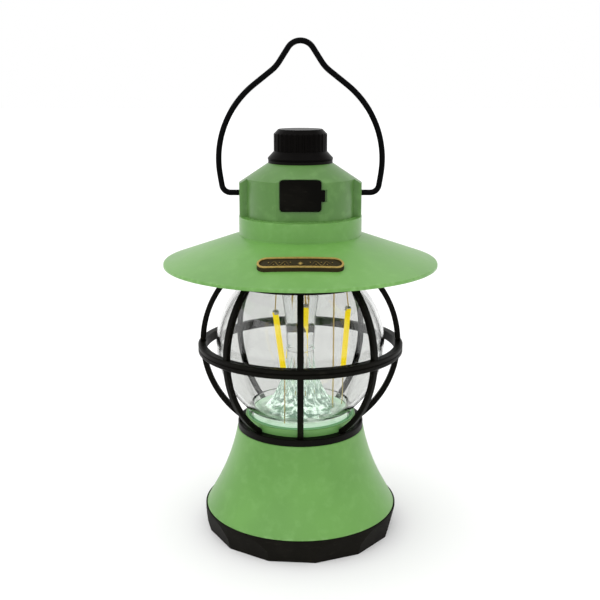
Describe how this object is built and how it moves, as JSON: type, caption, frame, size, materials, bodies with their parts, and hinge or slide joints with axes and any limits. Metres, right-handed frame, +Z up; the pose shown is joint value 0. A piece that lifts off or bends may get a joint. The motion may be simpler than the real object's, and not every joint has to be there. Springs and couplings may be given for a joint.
{
  "type": "camping lantern",
  "caption": "Rechargeable table lantern: clear globe in a ribbed cage on a faceted foot, wide sloping hat, dimmer knob on top, hinged cover over charging sockets, wire bail to hang it by.",
  "frame": {"origin": "centre of the foot's underside, on the floor the lantern stands on", "axes": "+Z up along the globe's axis, -Y towards the front with the socket cover and the badge, +X to the right of a person facing the front; the bail's hinge runs along X"},
  "size_m": [0.145, 0.145, 0.2644],
  "materials": {
    "painted_green": "semi-gloss leaf-green paint over stamped steel",
    "black_shell": "satin moulded black plastic",
    "black_rubber": "matt black rubber",
    "black_gloss": "semi-gloss moulded black plastic",
    "clear_globe": "clear smooth wall with a faint grey tint",
    "clear_guide": "clear moulded acrylic, polished",
    "frosted_white": "frosted white plastic",
    "white_plastic": "glossy white plastic",
    "amber_filament": "yellow phosphor coating",
    "warm_led": "yellow phosphor window",
    "gold_wire": "bright drawn wire",
    "gasket_rubber": "translucent grey silicone",
    "aged_bronze": "antique bronze with a dark olive field",
    "nickel_steel": "bright nickel plate",
    "zinc_screws": "zinc-plated screws",
    "black_wire": "black powder coat on steel wire",
    "cell_wrap": "shrink-wrapped blue film",
    "board_green": "solder-resist laminate",
    "board_white": "white solder-resist laminate",
    "black_epoxy": "moulded chip bodies"
  },
  "bodies": {
    "lantern": {"foot_ring": "black_rubber", "bottom_cover": "black_shell", "cover_screws": "zinc_screws", "base_housing": "painted_green", "battery_cells": "cell_wrap", "battery_holder": "black_shell", "battery_contacts": "nickel_steel", "protection_board": "board_green", "supply_wires": "gold_wire", "glow_board": "board_white", "glow_leds": "warm_led", "diffuser_disc": "frosted_white", "globe_tray": "painted_green", "tray_screws": "zinc_screws", "cage_base_ring": "black_shell", "cage_lower_ribs": "black_shell", "waist_band_lower": "black_shell", "waist_band_upper": "black_shell", "cage_upper_ribs": "black_shell", "cage_top_ring": "black_shell", "globe": "clear_globe", "globe_gasket_lower": "gasket_rubber", "globe_gasket_upper": "gasket_rubber", "light_guide": "clear_guide", "filaments": "amber_filament", "filament_leads": "gold_wire", "reflector_cup": "white_plastic", "ring_screws": "zinc_screws", "hat_collar": "painted_green", "hat_screws": "zinc_screws", "shade": "painted_green", "nameplate": "aged_bronze", "nameplate_pins": "aged_bronze", "neck_housing": "painted_green", "neck_screws": "zinc_screws", "port_cover_anchor": "black_rubber", "control_board": "board_green", "board_screws": "zinc_screws", "board_parts": "black_epoxy", "usb_a_shell": "nickel_steel", "usb_a_insert": "white_plastic", "usb_c_shell": "nickel_steel", "usb_c_insert": "black_epoxy", "dimmer_body": "nickel_steel", "dimmer_washer": "nickel_steel", "dimmer_nut": "nickel_steel", "knob_seat": "black_shell"},
    "knob": {"knob": "black_gloss", "dimmer_shaft": "nickel_steel"},
    "bail": {"bail": "black_wire", "bail_clips": "nickel_steel"},
    "port_cover": {"port_cover": "black_rubber"}
  },
  "joints": [
    {"name": "bail_swing", "type": "hinge", "parent": "lantern", "child": "bail", "pos_m": [0, 0, 0.18596], "axis": [1, 0, 0], "range_deg": [-115, 113]},
    {"name": "knob_turn", "type": "hinge", "parent": "lantern", "child": "knob", "pos_m": [0, 0, 0.20962], "axis": [0, 0, 1], "range_deg": [-120, 150]},
    {"name": "port_cover_open", "type": "hinge", "parent": "lantern", "child": "port_cover", "pos_m": [-0.00925, -0.02595, 0.18736], "axis": [0, 0, -1], "range_deg": [0, 110]}
  ]
}
